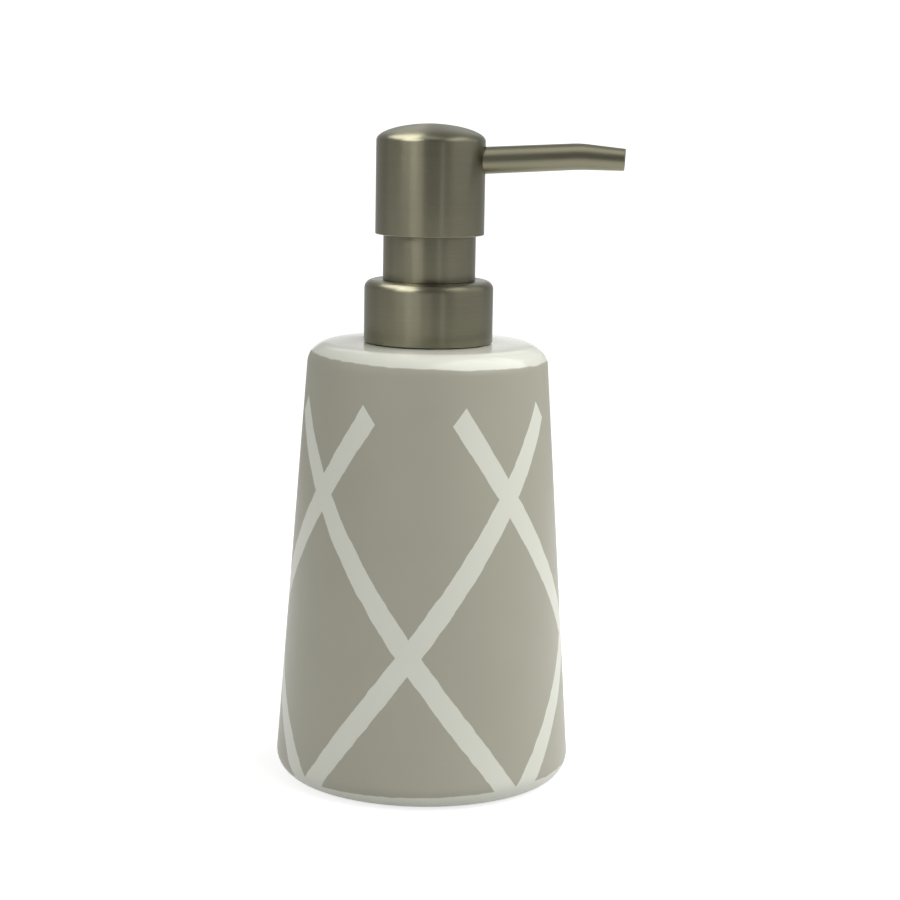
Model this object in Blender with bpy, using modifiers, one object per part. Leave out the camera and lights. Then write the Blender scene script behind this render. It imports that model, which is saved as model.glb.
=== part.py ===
"""Ceramic soap dispenser with a steel lotion pump.

Units are metres, +Z is up. The origin is the centre of the bottle's flat base, on the axis that the bottle and
the pump share. The spout points along +X. Every turned piece is drawn around its own datum and set on the axis
at the height that the stack of pieces below it gives.
"""

import math

import bmesh
import bpy
from mathutils import Matrix, Vector

# Clearances
SEAT_GAP = 0.0003  # between pieces that rest on each other, or are pressed together
RUN_GAP = 0.00025  # radial, between pieces that slide or turn in each other
FIT_GAP = 0.00015  # radial, between pressed tubes and their sockets
CUT_OVERRUN = 0.002  # how far a cutter runs past what it cuts

# Bottle
BOTTLE_HEIGHT = 0.1140
BASE_RADIUS = 0.0388  # where the wall's line meets the base plane
TOP_RADIUS = 0.03074  # where the wall's line meets the top plane
FOOT_ROUND = 0.0060
SHOULDER_ROUND = 0.0056
BOTTLE_WALL = 0.0040
BOTTLE_FLOOR = 0.0050
BOTTLE_ROOF = 0.0045
MOUTH_ROUND = 0.0008

# Stem, its valve and the piston
STEM_RADIUS = 0.0040
STEM_STEP = 0.0008  # how much slimmer the stem is inside the piston
STEM_WALL = 0.0018
INLET_HOLE_RADIUS = 0.0008
INLET_HOLE_HEIGHT = 0.0022  # above the stem's foot
PISTON_HEIGHT = 0.0090
PISTON_LIP = 0.0016
PISTON_WAIST = 0.0009  # how far the waist lies inside the lips
PISTON_CLEARANCE = 0.00015
PISTON_SEAT_RIM = 0.0012
PISTON_SEAT_CONE = 0.0015
PISTON_SEAT_FLANGE = 0.0018  # how far the flange stands out from the stem's foot
PLUG_LENGTH = 0.0070
PLUG_WEB = 0.0012

# Housing
HOUSING_BORE = 0.0069
HOUSING_WALL = 0.0010
HOUSING_DEPTH = 0.0436  # from the underside of its flange to the floor of its bore
HOUSING_LEDGE = 0.0011  # the bore is this much wider, and starts this far, round the chaplet's plug
FLANGE_THICKNESS = 0.0011
UPSTAND_WALL = 0.0016
UPSTAND_HEIGHT = 0.0048
VENT_RADIUS = 0.0006
VENT_DROP = 0.0035  # below the ledge

# Inlet valve and spring
BALL_RADIUS = 0.00275
BALL_ROOM = 0.00065
BALL_TRAVEL = 0.0015
THROAT_RADIUS = 0.0019
THROAT_LENGTH = 0.0015
CAGE_LIP = 0.0018
CAGE_SLOT = 0.0014
WIRE_RADIUS = 0.00045
SPRING_RADIUS = 0.00475
SPRING_CURLS = 9
CURL_POINTS = 8
LEAST_WIRE_GAP = 0.0004

# Dip tube
TUBE_RADIUS = 0.0035
TUBE_WALL = 0.0009
SOCKET_DEPTH = 0.0105
SOCKET_WALL = 0.00135
TUBE_FLOOR_GAP = 0.0015

# Neck, gasket and closure
NECK_CLEARANCE = 0.0016
NECK_WALL = 0.0018
NECK_HEIGHT = 0.0101
NECK_SHOULDER = 0.0009  # the bonded plug is this much wider than the neck
INSERT_FLANGE = 0.0010
INSERT_LEDGE = 0.0021
INSERT_DEPTH = 0.0064
GASKET_THICKNESS = 0.0008
GASKET_WIDTH = 0.0034
THREAD_ROOM = 0.0016
CLOSURE_WALL = 0.0019
CLOSURE_TOP = 0.0012
FLANGE_RIM_GAP = 0.0006
COLLAR_WALL = 0.00042
COLLAR_ROUND = 0.0021

# Chaplet and sleeve
CHAPLET_WALL = 0.0012
CHAPLET_HEIGHT = 0.0142
SLEEVE_WALL = 0.0005
SLEEVE_ROUND = 0.00045

# Head
PRESS_STROKE = 0.0110
HEAD_STOP_GAP = 0.00074
HEAD_HEIGHT = 0.02811
DOME_HEIGHT = 0.00437
HEAD_CLEARANCE = 0.0004
SKIRT_WALL = 0.0009
SKIRT_RECESS = 0.0006
SHELL_WALL = 0.0005
EDGE_ROUND = 0.0002
CORE_FLOOR = 0.0014
HUB_WALL = 0.00145
HUB_LENGTH = 0.0065
BOSS_WALL = 0.00075

# Spout
SPOUT_RADIUS = 0.00346  # at its root
SPOUT_KNEE_SHARE = 0.970  # of the root's radius
SPOUT_TIP_SHARE = 0.811
SPOUT_WALL = 0.0005
SPOUT_REACH = 0.0494  # from the axis to the tip
SPOUT_KNEE = 0.0380  # from the axis to the bend
SPOUT_BEND_RADIUS = 0.0350
SPOUT_RISE = math.radians(3.5)
SPOUT_FALL = math.radians(3.1)
SPOUT_INSERT = 0.0007  # how far the tube goes through the skirt
RIM_ROUND = 0.0003
LINER_WALL = 0.0007
LINER_RECESS = 0.0008

# The dome's outline: handle lengths as shares of its radius and its height
DOME_CROWN_SHARE = 0.45
DOME_WALL_SHARE = 0.60

# Where the bend has its stations, as shares of its half length
BEND_STATION_SHARES = (-1, -0.5, 0, 0.5, 1)

# Facets
BOTTLE_SIDES = 64
SHELL_SIDES = 56
PLASTIC_SIDES = 32
PUMP_SIDES = 28
SMALL_SIDES = 20
ARC_STEPS = 5
SMALL_ARC_STEPS = 2
DOME_STEPS = 8
INNER_DOME_STEPS = 5
HOLE_SIDES = 6
SPOUT_DETAIL = 4  # of the curve's bevel
WIRE_DETAIL = 1
SHARP_ANGLE = math.radians(35)

# Radii that follow from the pieces inside
STEM_BORE = STEM_RADIUS - STEM_WALL
STEM_FOOT_RADIUS = STEM_RADIUS - STEM_STEP
GUIDE_BORE = STEM_RADIUS + RUN_GAP
STEM_SOCKET = STEM_RADIUS + FIT_GAP
HUB_RADIUS = STEM_SOCKET + HUB_WALL
WELL_BORE = HUB_RADIUS + SEAT_GAP
WELL_RADIUS = WELL_BORE + CHAPLET_WALL
HOUSING_RADIUS = HOUSING_BORE + HOUSING_WALL
UPPER_BORE = HOUSING_BORE + HOUSING_LEDGE
HOUSING_NECK = UPPER_BORE + HOUSING_WALL
UPSTAND_RADIUS = UPPER_BORE + UPSTAND_WALL
PLUG_RADIUS = UPPER_BORE - SEAT_GAP
CHAPLET_BORE = UPSTAND_RADIUS + SEAT_GAP
CHAPLET_RADIUS = CHAPLET_BORE + CHAPLET_WALL
SLEEVE_BORE = CHAPLET_RADIUS + SEAT_GAP
SLEEVE_RADIUS = SLEEVE_BORE + SLEEVE_WALL
SKIRT_BORE = SLEEVE_RADIUS + HEAD_CLEARANCE
SKIRT_RADIUS = SKIRT_BORE + SKIRT_WALL
SHELL_BORE = SKIRT_RADIUS + SEAT_GAP
HEAD_RADIUS = SHELL_BORE + SHELL_WALL
NECK_BORE = HOUSING_NECK + NECK_CLEARANCE
NECK_RADIUS = NECK_BORE + NECK_WALL
INSERT_RADIUS = NECK_RADIUS + NECK_SHOULDER
MOUTH_RADIUS = INSERT_RADIUS + SEAT_GAP
INSERT_FLANGE_RADIUS = INSERT_RADIUS + INSERT_LEDGE
CLOSURE_BORE = NECK_RADIUS + THREAD_ROOM
CLOSURE_RADIUS = CLOSURE_BORE + CLOSURE_WALL
FLANGE_RADIUS = CLOSURE_BORE - FLANGE_RIM_GAP
COLLAR_BORE = CLOSURE_RADIUS + SEAT_GAP
COLLAR_RADIUS = COLLAR_BORE + COLLAR_WALL
CHAMBER_RADIUS = BALL_RADIUS + BALL_ROOM
TUBE_SOCKET = TUBE_RADIUS + FIT_GAP
NIPPLE_RADIUS = TUBE_SOCKET + SOCKET_WALL
BOSS_RADIUS = SPOUT_RADIUS + FIT_GAP + BOSS_WALL

# Heights, from the bottle up
INSERT_BOTTOM = BOTTLE_HEIGHT + SEAT_GAP
NECK_FOOT = INSERT_BOTTOM + INSERT_FLANGE
NECK_RIM = NECK_FOOT + NECK_HEIGHT
GASKET_BOTTOM = NECK_RIM + SEAT_GAP
FLANGE_BOTTOM = GASKET_BOTTOM + GASKET_THICKNESS + SEAT_GAP
FLANGE_TOP = FLANGE_BOTTOM + FLANGE_THICKNESS
CLOSURE_BOTTOM = NECK_FOOT + SEAT_GAP
CLOSURE_CEILING = FLANGE_TOP + SEAT_GAP
CLOSURE_ROOF = CLOSURE_CEILING + CLOSURE_TOP
CHAPLET_BOTTOM = CLOSURE_ROOF + SEAT_GAP
COLLAR_TOP = CLOSURE_ROOF + SEAT_GAP + COLLAR_WALL
UPSTAND_TOP = FLANGE_TOP + UPSTAND_HEIGHT
CHAPLET_TOP = CHAPLET_BOTTOM + CHAPLET_HEIGHT
SLEEVE_BOTTOM = COLLAR_TOP + SEAT_GAP
SLEEVE_TOP = CHAPLET_TOP + SEAT_GAP + SLEEVE_WALL
CORE_BOTTOM = SLEEVE_TOP + PRESS_STROKE + SEAT_GAP
CORE_DECK = CORE_BOTTOM + CORE_FLOOR
HUB_BOTTOM = CORE_BOTTOM - HUB_LENGTH
WELL_FLOOR = HUB_BOTTOM - PRESS_STROKE - SEAT_GAP
HEAD_BOTTOM = COLLAR_TOP + PRESS_STROKE + HEAD_STOP_GAP
HEAD_TOP = HEAD_BOTTOM + HEAD_HEIGHT
DOME_FOOT = HEAD_TOP - DOME_HEIGHT

# Heights, from the housing's flange down
LEDGE_HEIGHT = FLANGE_BOTTOM - HOUSING_LEDGE
PLUG_BOTTOM = LEDGE_HEIGHT + SEAT_GAP
PISTON_TOP = LEDGE_HEIGHT - SEAT_GAP
PISTON_BOTTOM = PISTON_TOP - PISTON_HEIGHT
SEAT_TOP = PISTON_BOTTOM - SEAT_GAP
SEAT_BOTTOM = SEAT_TOP - PISTON_SEAT_CONE - PISTON_SEAT_RIM
BORE_FLOOR = FLANGE_BOTTOM - HOUSING_DEPTH
# The ball rests on a cone of 45 degrees that opens from the throat
BALL_RISE = math.sqrt(2) * (BALL_RADIUS + SEAT_GAP / 3) - THROAT_RADIUS
THROAT_TOP = BORE_FLOOR - BALL_RISE - BALL_RADIUS
BALL_HEIGHT = THROAT_TOP + BALL_RISE
CAGE_BOTTOM = BORE_FLOOR + SEAT_GAP
CAGE_STOP = BALL_HEIGHT + BALL_RADIUS + BALL_TRAVEL + SEAT_GAP / 3
CAGE_TOP = CAGE_STOP + CAGE_LIP
SOCKET_TOP = THROAT_TOP - THROAT_LENGTH
NIPPLE_BOTTOM = SOCKET_TOP - SOCKET_DEPTH
TUBE_TOP = SOCKET_TOP - SEAT_GAP
TUBE_BOTTOM = BOTTLE_FLOOR + TUBE_FLOOR_GAP

# The spout's axis passes over the hub's edge one boss radius above the core's floor
SPOUT_ROOT_HEIGHT = CORE_BOTTOM + BOSS_RADIUS - HUB_RADIUS * math.tan(SPOUT_RISE)
SPOUT_KNEE_HEIGHT = SPOUT_ROOT_HEIGHT + SPOUT_KNEE * math.tan(SPOUT_RISE)
TUBE_START = SKIRT_BORE - SPOUT_INSERT
BOSS_START = (STEM_SOCKET + HUB_RADIUS) / 2
BOSS_END = math.sqrt(((SKIRT_BORE + SKIRT_RADIUS) / 2) ** 2 - BOSS_RADIUS**2)
LINER_BORE_ROOT = SPOUT_RADIUS - SPOUT_WALL - SEAT_GAP - LINER_WALL
LINER_START = BOSS_START + 2 * SEAT_GAP
STEM_TOP = SPOUT_ROOT_HEIGHT - LINER_BORE_ROOT - SEAT_GAP

COLOURS = {
    "ceramic": ((0.47, 0.46, 0.38), 0.35, 0.0),
    "steel": ((0.27, 0.26, 0.21), 0.30, 1.0),
    "spring_steel": ((0.55, 0.55, 0.56), 0.25, 1.0),
    "plastic": ((0.75, 0.75, 0.73), 0.45, 0.0),
    "clear_plastic": ((0.80, 0.82, 0.82), 0.30, 0.0),
    "rubber": ((0.10, 0.10, 0.10), 0.70, 0.0),
}


# Shared tools


def clear_scene():
    for item in list(bpy.data.objects):
        bpy.data.objects.remove(item)


def new_collection(name, hidden=False):
    group = bpy.data.collections.new(name)
    group.hide_render = hidden
    bpy.context.scene.collection.children.link(group)
    return group


def finish_of(node, kind):
    """A material of the node's own, in one of the shared finishes."""
    colour, roughness, metallic = COLOURS[kind]
    material = bpy.data.materials.new(node)
    material.use_nodes = True
    shader = material.node_tree.nodes["Principled BSDF"]
    shader.inputs["Base Color"].default_value = (*colour, 1.0)
    shader.inputs["Roughness"].default_value = roughness
    shader.inputs["Metallic"].default_value = metallic
    return material


def empty(name, height, parent=None):
    """A body's frame, on the pump's axis."""
    marker = bpy.data.objects.new(name, None)
    PARTS.objects.link(marker)
    marker.location = (0, 0, height)
    if parent:
        marker.parent = parent
        marker.location.z -= parent.matrix_world.translation.z
    bpy.context.view_layer.update()
    return marker


def add(node, mesh, kind, body, height=0.0):
    """The mesh as a named piece of a body, with its datum at this height."""
    piece = bpy.data.objects.new(node, mesh)
    PARTS.objects.link(piece)
    piece.parent = body
    piece.location = (0, 0, height - body.matrix_world.translation.z)
    mesh.materials.append(finish_of(node, kind))
    return piece


def arc_corner(before, corner, after, radius, steps):
    """Points of the arc that rounds a corner between two straight lines."""
    corner = Vector(corner)
    back = (Vector(before) - corner).normalized()
    ahead = (Vector(after) - corner).normalized()
    half = back.angle(ahead) / 2
    start = corner + back * (radius / math.tan(half))
    end = corner + ahead * (radius / math.tan(half))
    centre = corner + (back + ahead).normalized() * (radius / math.sin(half))
    sweep = (start - centre).angle(end - centre)
    points = []
    for step in range(steps + 1):
        share = step / steps
        first = math.sin((1 - share) * sweep) / math.sin(sweep)
        last = math.sin(share * sweep) / math.sin(sweep)
        points.append(tuple(centre + (start - centre) * first + (end - centre) * last))
    return points


def outline(corners, closed=True):
    """An outline from corners (radius, height), or (radius, height, round, steps) where the corner is rounded."""
    points = []
    count = len(corners)
    for index, corner in enumerate(corners):
        inside = closed or 0 < index < count - 1
        if len(corner) == 4 and inside:
            before = corners[index - 1][:2]
            after = corners[(index + 1) % count][:2]
            points += arc_corner(before, corner[:2], after, corner[2], corner[3])
        else:
            points.append(tuple(corner[:2]))
    return points


def profile_mesh(name, points, closed=True):
    """The outline as edges in the XZ plane, ready to be turned."""
    mesh = bpy.data.meshes.new(name)
    edges = [(i, i + 1) for i in range(len(points) - 1)]
    if closed:
        edges.append((len(points) - 1, 0))
    mesh.from_pydata([(r, 0, z) for r, z in points], edges, [])
    return mesh


def turn(piece, sides):
    """Turns a piece's outline round the axis, and keeps its real edges sharp on its smooth wall."""
    screw = piece.modifiers.new("turned", "SCREW")
    screw.axis = "Z"
    screw.steps = sides
    screw.render_steps = sides
    screw.use_merge_vertices = True
    screw.merge_threshold = SEAT_GAP / 1000
    graph = bpy.context.evaluated_depsgraph_get()
    mesh = bpy.data.meshes.new_from_object(piece.evaluated_get(graph))
    piece.modifiers.remove(screw)
    piece.data = mesh
    mesh.name = piece.name
    smooth(mesh)
    return piece


def smooth(mesh):
    mesh.shade_smooth()
    mesh.set_sharp_from_angle(angle=SHARP_ANGLE)


def turned(node, corners, kind, body, height, sides, closed=True):
    """A turned piece. Its outline runs down its outer side, and its heights count from its datum."""
    return turn(add(node, profile_mesh(node, outline(corners, closed), closed), kind, body, height), sides)


def axis_rod(name, radius, start, end, sides):
    """A cylinder between two points, as a mesh in world space."""
    start = Vector(start)
    end = Vector(end)
    form = bmesh.new()
    length = (end - start).length
    bmesh.ops.create_cone(
        form, cap_ends=True, segments=sides, radius1=radius, radius2=radius, depth=length
    )
    aim = (end - start).to_track_quat("Z", "Y").to_matrix().to_4x4()
    bmesh.ops.transform(form, matrix=Matrix.Translation((start + end) / 2) @ aim, verts=form.verts)
    mesh = bpy.data.meshes.new(name)
    form.to_mesh(mesh)
    form.free()
    return mesh


def box_mesh(name, size, centre):
    form = bmesh.new()
    bmesh.ops.create_cube(form, size=1)
    place = Matrix.Translation(centre) @ Matrix.Diagonal((*size, 1))
    bmesh.ops.transform(form, matrix=place, verts=form.verts)
    mesh = bpy.data.meshes.new(name)
    form.to_mesh(mesh)
    form.free()
    return mesh


def cutter(name, mesh):
    helper = bpy.data.objects.new(name, mesh)
    CUTTERS.objects.link(helper)
    helper.hide_render = True
    helper.display_type = "WIRE"
    return helper


def combine(piece, helper, operation):
    boolean = piece.modifiers.new(helper.name, "BOOLEAN")
    boolean.operation = operation
    boolean.object = helper
    boolean.solver = "EXACT"
    return piece


def tube_mesh(name, route, radius, shares, detail):
    """A round bar along a route of points, with a share of the radius at each point, as a welded mesh."""
    curve = bpy.data.curves.new(name, "CURVE")
    curve.dimensions = "3D"
    curve.bevel_depth = radius
    curve.bevel_resolution = detail
    curve.use_fill_caps = True
    spline = curve.splines.new("POLY")
    spline.points.add(len(route) - 1)
    for point, place, share in zip(spline.points, route, shares):
        point.co = (*place, 1)
        point.radius = share
    holder = bpy.data.objects.new(name, curve)
    CUTTERS.objects.link(holder)
    graph = bpy.context.evaluated_depsgraph_get()
    mesh = bpy.data.meshes.new_from_object(holder.evaluated_get(graph))
    bpy.data.objects.remove(holder)
    form = bmesh.new()
    form.from_mesh(mesh)
    bmesh.ops.remove_doubles(form, verts=form.verts, dist=WIRE_RADIUS / 1000)
    form.to_mesh(mesh)
    form.free()
    smooth(mesh)
    return mesh


# Bottle and neck


def wall_radius(height):
    """The bottle's outer wall as a straight taper."""
    return BASE_RADIUS + (TOP_RADIUS - BASE_RADIUS) * height / BOTTLE_HEIGHT


def make_bottle(body):
    """A turned shell whose wall keeps its thickness round the foot and the shoulder."""
    ceiling = BOTTLE_HEIGHT - BOTTLE_ROOF
    corners = [
        (0, BOTTLE_FLOOR),
        (wall_radius(BOTTLE_FLOOR) - BOTTLE_WALL, BOTTLE_FLOOR, FOOT_ROUND - BOTTLE_WALL, SMALL_ARC_STEPS),
        (wall_radius(ceiling) - BOTTLE_WALL, ceiling, SHOULDER_ROUND - BOTTLE_WALL, SMALL_ARC_STEPS),
        (MOUTH_RADIUS, ceiling),
        (MOUTH_RADIUS, BOTTLE_HEIGHT, MOUTH_ROUND, SMALL_ARC_STEPS),
        (TOP_RADIUS, BOTTLE_HEIGHT, SHOULDER_ROUND, ARC_STEPS),
        (BASE_RADIUS, 0, FOOT_ROUND, ARC_STEPS),
        (0, 0),
    ]
    turned("bottle", corners, "ceramic", body, 0, BOTTLE_SIDES, closed=False)


def make_neck_insert(body):
    """Heights count from the underside of its flange."""
    rim = NECK_RIM - INSERT_BOTTOM
    corners = [
        (NECK_RADIUS, rim),
        (NECK_RADIUS, INSERT_FLANGE),
        (INSERT_FLANGE_RADIUS, INSERT_FLANGE),
        (INSERT_FLANGE_RADIUS, 0),
        (INSERT_RADIUS, 0),
        (INSERT_RADIUS, -INSERT_DEPTH + NECK_SHOULDER),
        (INSERT_RADIUS - NECK_SHOULDER, -INSERT_DEPTH),
        (NECK_BORE, -INSERT_DEPTH),
        (NECK_BORE, rim),
    ]
    turned("neck_insert", corners, "plastic", body, INSERT_BOTTOM, PLASTIC_SIDES)


def make_gasket(body):
    outer = NECK_RADIUS + FLANGE_RIM_GAP
    corners = [
        (outer, GASKET_THICKNESS),
        (outer, 0),
        (outer - GASKET_WIDTH, 0),
        (outer - GASKET_WIDTH, GASKET_THICKNESS),
    ]
    turned("gasket", corners, "rubber", body, GASKET_BOTTOM, PLASTIC_SIDES)


# Pump


def make_housing(body):
    """Heights count from the underside of its flange."""
    neck_foot = -HOUSING_LEDGE - HOUSING_WALL
    taper_foot = neck_foot - HOUSING_WALL
    floor = BORE_FLOOR - FLANGE_BOTTOM
    throat = THROAT_TOP - FLANGE_BOTTOM
    socket = SOCKET_TOP - FLANGE_BOTTOM
    nipple = NIPPLE_BOTTOM - FLANGE_BOTTOM
    upstand = UPSTAND_TOP - FLANGE_BOTTOM
    corners = [
        (UPSTAND_RADIUS, upstand),
        (UPSTAND_RADIUS, FLANGE_THICKNESS),
        (FLANGE_RADIUS, FLANGE_THICKNESS),
        (FLANGE_RADIUS, 0),
        (HOUSING_NECK, 0),
        (HOUSING_NECK, neck_foot),
        (HOUSING_RADIUS, taper_foot),
        (HOUSING_RADIUS, floor - HOUSING_WALL),
        (NIPPLE_RADIUS, throat),
        (NIPPLE_RADIUS, nipple),
        (TUBE_SOCKET, nipple),
        (TUBE_SOCKET, socket),
        (THROAT_RADIUS, socket),
        (THROAT_RADIUS, throat),
        (CHAMBER_RADIUS, throat + CHAMBER_RADIUS - THROAT_RADIUS),
        (CHAMBER_RADIUS, floor),
        (HOUSING_BORE, floor),
        (HOUSING_BORE, -HOUSING_LEDGE),
        (UPPER_BORE, -HOUSING_LEDGE),
        (UPPER_BORE, upstand),
    ]
    housing = turned("pump_housing", corners, "clear_plastic", body, FLANGE_BOTTOM, PUMP_SIDES)
    vent_height = LEDGE_HEIGHT - VENT_DROP
    vent = axis_rod(
        "vent_cutter",
        VENT_RADIUS,
        (HOUSING_BORE - HOUSING_WALL, 0, vent_height),
        (HOUSING_NECK + CUT_OVERRUN, 0, vent_height),
        HOLE_SIDES,
    )
    combine(housing, cutter("vent_cutter", vent), "DIFFERENCE")


def make_dip_tube(body):
    """A plain tube whose foot is cut at 45 degrees."""
    length = TUBE_TOP - TUBE_BOTTOM
    bore = TUBE_RADIUS - TUBE_WALL
    corners = [(TUBE_RADIUS, 0), (TUBE_RADIUS, -length), (bore, -length), (bore, 0)]
    tube = turned("dip_tube", corners, "clear_plastic", body, TUBE_TOP, SMALL_SIDES)
    size = 4 * TUBE_RADIUS
    wedge = box_mesh("tube_foot_cutter", (size, size, size), (0, 0, -size / 2))
    helper = cutter("tube_foot_cutter", wedge)
    helper.location = (0, 0, TUBE_BOTTOM + TUBE_RADIUS)
    helper.rotation_euler = (0, -math.pi / 4, 0)
    combine(tube, helper, "DIFFERENCE")


def make_ball(body):
    form = bmesh.new()
    bmesh.ops.create_icosphere(form, subdivisions=3, radius=BALL_RADIUS)
    mesh = bpy.data.meshes.new("ball")
    form.to_mesh(mesh)
    form.free()
    smooth(mesh)
    add("ball", mesh, "spring_steel", body, BALL_HEIGHT)


def make_ball_cage(body):
    """A ring that carries the spring, with four fingers over the ball."""
    outer = HOUSING_BORE - SEAT_GAP
    stop = CAGE_STOP - CAGE_BOTTOM
    top = CAGE_TOP - CAGE_BOTTOM
    finger_tip = BALL_RADIUS / 2
    corners = [
        (outer, top),
        (outer, 0),
        (CHAMBER_RADIUS, 0),
        (CHAMBER_RADIUS, stop),
        (finger_tip, stop),
        (finger_tip, top),
    ]
    cage = turned("ball_cage", corners, "plastic", body, CAGE_BOTTOM, PUMP_SIDES)
    reach = 2 * (CHAMBER_RADIUS + BALL_ROOM)
    middle = (CAGE_STOP + CAGE_TOP) / 2
    depth = CAGE_LIP + CUT_OVERRUN
    for name, size in (
        ("cage_slot_x_cutter", (reach, CAGE_SLOT, depth)),
        ("cage_slot_y_cutter", (CAGE_SLOT, reach, depth)),
    ):
        combine(cage, cutter(name, box_mesh(name, size, (0, 0, middle))), "DIFFERENCE")


def spring_route():
    """One wire: a flat closed curl at each end, an even rise between them, and straight ends."""
    low = CAGE_TOP + SEAT_GAP + WIRE_RADIUS
    high = SEAT_BOTTOM - SEAT_GAP - WIRE_RADIUS
    end_rise = 2 * WIRE_RADIUS + LEAST_WIRE_GAP * 5 / 4
    pitch = (high - low - 2 * end_rise) / (SPRING_CURLS - 2)
    points = []
    for step in range(SPRING_CURLS * CURL_POINTS + 1):
        curl = step / CURL_POINTS
        if curl <= 1:
            height = low + end_rise * curl
        elif curl >= SPRING_CURLS - 1:
            height = high - end_rise * (SPRING_CURLS - curl)
        else:
            height = low + end_rise + pitch * (curl - 1)
        angle = 2 * math.pi * curl
        points.append(
            Vector((SPRING_RADIUS * math.cos(angle), SPRING_RADIUS * math.sin(angle), height))
        )
    lead = Vector((0, -2 * WIRE_RADIUS, 0))
    return [points[0] + lead] + points + [points[-1] - lead]


def wire_gap(points):
    """The least gap between the spring's wire and itself, on points more than half a curl apart."""
    least = math.inf
    for first, place in enumerate(points):
        for other in points[first + CURL_POINTS // 2 + 1 :]:
            least = min(least, (place - other).length)
    return least - 2 * WIRE_RADIUS


def make_spring(body):
    route = spring_route()
    print(f"least gap between the spring's curls: {1000 * wire_gap(route):.2f} mm")
    mesh = tube_mesh("spring", route, WIRE_RADIUS, [1] * len(route), WIRE_DETAIL)
    add("spring", mesh, "spring_steel", body)


def make_chaplet(body):
    """Two tubes under one roof. The inner one plugs the housing and guides the stem."""
    top = CHAPLET_TOP - CHAPLET_BOTTOM
    roof = top - CHAPLET_WALL
    well = WELL_FLOOR - CHAPLET_BOTTOM
    plug_top = UPSTAND_TOP + SEAT_GAP - CHAPLET_BOTTOM
    plug_bottom = PLUG_BOTTOM - CHAPLET_BOTTOM
    corners = [
        (CHAPLET_RADIUS, top),
        (CHAPLET_RADIUS, 0),
        (CHAPLET_BORE, 0),
        (CHAPLET_BORE, roof),
        (WELL_RADIUS, roof),
        (WELL_RADIUS, plug_top),
        (PLUG_RADIUS, plug_top),
        (PLUG_RADIUS, plug_bottom),
        (GUIDE_BORE, plug_bottom),
        (GUIDE_BORE, well),
        (WELL_BORE, well),
        (WELL_BORE, top),
    ]
    turned("chaplet", corners, "plastic", body, CHAPLET_BOTTOM, PLASTIC_SIDES)


def make_sleeve(body):
    """A drawn steel cup, upside down, with a hole for the head's hub."""
    top = SLEEVE_TOP - SLEEVE_BOTTOM
    lip = WELL_BORE + SEAT_GAP
    corners = [
        (lip, top),
        (SLEEVE_RADIUS, top, SLEEVE_ROUND, SMALL_ARC_STEPS),
        (SLEEVE_RADIUS, 0, SLEEVE_ROUND, SMALL_ARC_STEPS),
        (CHAPLET_RADIUS + FIT_GAP, 0),
        (SLEEVE_BORE, SLEEVE_ROUND),
        (SLEEVE_BORE, top - SLEEVE_WALL),
        (lip, top - SLEEVE_WALL),
    ]
    turned("sleeve", corners, "steel", body, SLEEVE_BOTTOM, SHELL_SIDES)


# Closure


def make_closure(body):
    ceiling = CLOSURE_CEILING - CLOSURE_BOTTOM
    roof = CLOSURE_ROOF - CLOSURE_BOTTOM
    hole = UPSTAND_RADIUS + SEAT_GAP
    corners = [
        (CLOSURE_RADIUS, roof, COLLAR_ROUND - COLLAR_WALL, SMALL_ARC_STEPS),
        (CLOSURE_RADIUS, 0),
        (CLOSURE_BORE, 0),
        (CLOSURE_BORE, ceiling),
        (hole, ceiling),
        (hole, roof),
    ]
    turned("closure", corners, "plastic", body, CLOSURE_BOTTOM, PLASTIC_SIDES)


def make_collar_shell(body):
    """A steel cup over the closure, open below, with a hole for the chaplet."""
    height = COLLAR_TOP - INSERT_BOTTOM
    hole = CHAPLET_RADIUS + SEAT_GAP
    corners = [
        (hole, height),
        (COLLAR_RADIUS, height, COLLAR_ROUND, ARC_STEPS),
        (COLLAR_RADIUS, 0, EDGE_ROUND, SMALL_ARC_STEPS),
        (COLLAR_BORE, 0),
        (COLLAR_BORE, height - COLLAR_WALL, COLLAR_ROUND - COLLAR_WALL, SMALL_ARC_STEPS),
        (hole, height - COLLAR_WALL),
    ]
    turned("collar_shell", corners, "steel", body, INSERT_BOTTOM, SHELL_SIDES)


# Plunger


def make_piston(body):
    """Two lips that seal on the bore, with a waist between them."""
    lip = HOUSING_BORE - PISTON_CLEARANCE
    waist = lip - PISTON_WAIST
    bore = STEM_FOOT_RADIUS + RUN_GAP
    top_lip = PISTON_HEIGHT - PISTON_LIP
    corners = [
        (lip - PISTON_CLEARANCE, PISTON_HEIGHT),
        (lip, top_lip),
        (waist, top_lip - PISTON_WAIST),
        (waist, PISTON_LIP + PISTON_WAIST),
        (lip, PISTON_LIP),
        (lip - PISTON_CLEARANCE, 0),
        (bore, 0),
        (bore, PISTON_HEIGHT),
    ]
    turned("piston", corners, "plastic", body, PISTON_BOTTOM, PUMP_SIDES)


def make_stem(body):
    """A hollow stem, stepped where it enters the piston, with two inlet holes near its foot."""
    top = STEM_TOP - PISTON_BOTTOM
    step = PISTON_HEIGHT + SEAT_GAP
    corners = [
        (STEM_RADIUS, top),
        (STEM_RADIUS, step),
        (STEM_FOOT_RADIUS, step),
        (STEM_FOOT_RADIUS, 0),
        (STEM_BORE, 0),
        (STEM_BORE, top),
    ]
    stem = turned("stem", corners, "plastic", body, PISTON_BOTTOM, SMALL_SIDES)
    height = PISTON_BOTTOM + INLET_HOLE_HEIGHT
    reach = STEM_RADIUS + CUT_OVERRUN
    holes = axis_rod(
        "inlet_hole_cutter", INLET_HOLE_RADIUS, (0, -reach, height), (0, reach, height), HOLE_SIDES
    )
    combine(stem, cutter("inlet_hole_cutter", holes), "DIFFERENCE")


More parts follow.
